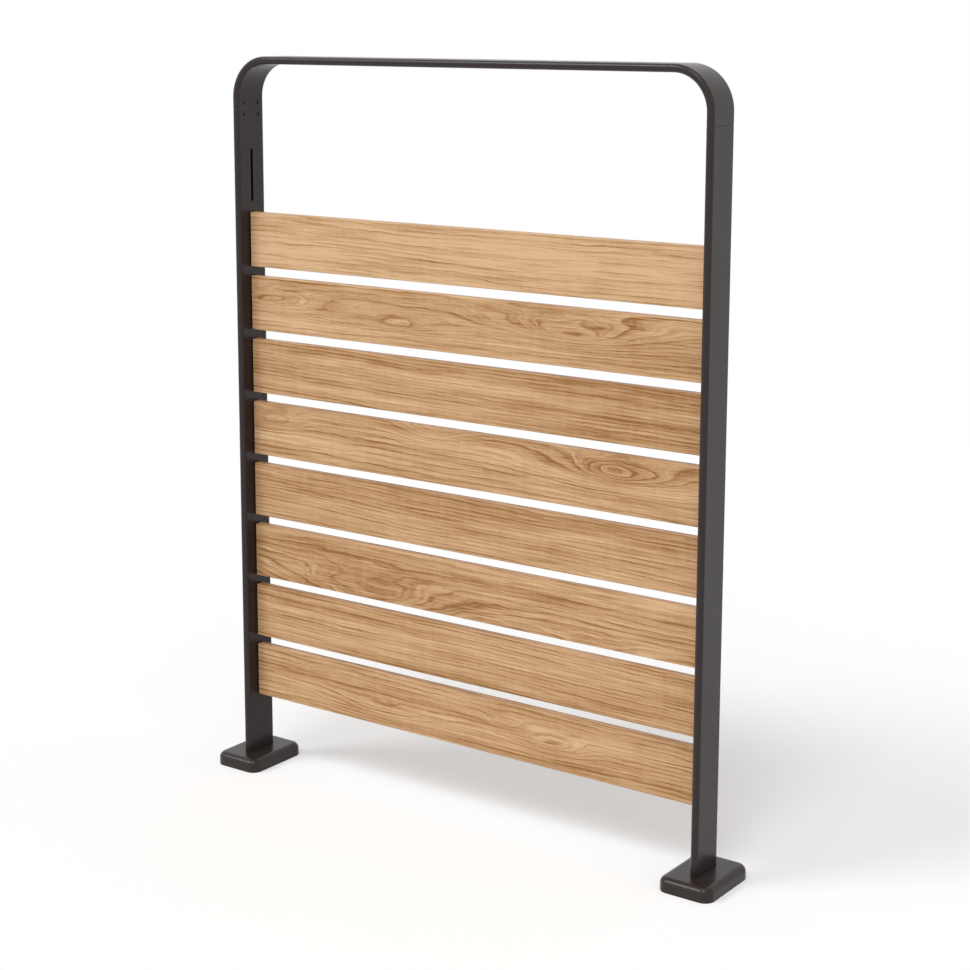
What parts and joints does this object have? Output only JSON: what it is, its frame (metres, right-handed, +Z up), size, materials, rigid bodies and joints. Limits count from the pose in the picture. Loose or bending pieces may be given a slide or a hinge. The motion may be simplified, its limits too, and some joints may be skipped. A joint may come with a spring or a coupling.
{
  "type": "garden privacy screen",
  "caption": "Free-standing slatted garden privacy screen: timber slats between flat-oval posts under a bent arch, on bolted bases with rounded sliding covers.",
  "frame": {"origin": "on the ground, midway between the two posts and in the middle of their depth", "axes": "+X across the screen towards the right post seen from the front, +Y from the front to the back, +Z up"},
  "size_m": [0.9776, 0.127, 1.22],
  "materials": {
    "frame_paint": "dark bronze semi-gloss paint",
    "timber": "clear satin on light brown hardwood",
    "mill_aluminium": "mill finish",
    "screw_steel": "blackened stainless",
    "pad_rubber": "matt"
  },
  "bodies": {
    "frame": {"top_arch": "frame_paint", "slat_1": "timber", "slat_2": "timber", "slat_3": "timber", "slat_4": "timber", "slat_5": "timber", "slat_6": "timber", "slat_7": "timber", "slat_8": "timber", "left_post": "frame_paint", "left_spigot": "mill_aluminium", "left_post_stub": "mill_aluminium", "left_arch_screw_1": "screw_steel", "left_arch_screw_2": "screw_steel", "left_post_screw_1": "screw_steel", "left_post_screw_2": "screw_steel", "left_foot_screw_1": "screw_steel", "left_foot_screw_2": "screw_steel", "left_base_pad": "pad_rubber", "left_base_plate": "mill_aluminium", "right_post": "frame_paint", "right_spigot": "mill_aluminium", "right_post_stub": "mill_aluminium", "right_arch_screw_1": "screw_steel", "right_arch_screw_2": "screw_steel", "right_post_screw_1": "screw_steel", "right_post_screw_2": "screw_steel", "right_foot_screw_1": "screw_steel", "right_foot_screw_2": "screw_steel", "right_base_pad": "pad_rubber", "right_base_plate": "mill_aluminium"},
    "left_cover": {"left_foot_cover": "frame_paint"},
    "right_cover": {"right_foot_cover": "frame_paint"}
  },
  "joints": [
    {"name": "left_cover_lift", "type": "slide", "parent": "frame", "child": "left_cover", "axis": [0, 0, 1], "range_m": [0, 0.095]},
    {"name": "right_cover_lift", "type": "slide", "parent": "frame", "child": "right_cover", "axis": [0, 0, 1], "range_m": [0, 0.095]}
  ]
}
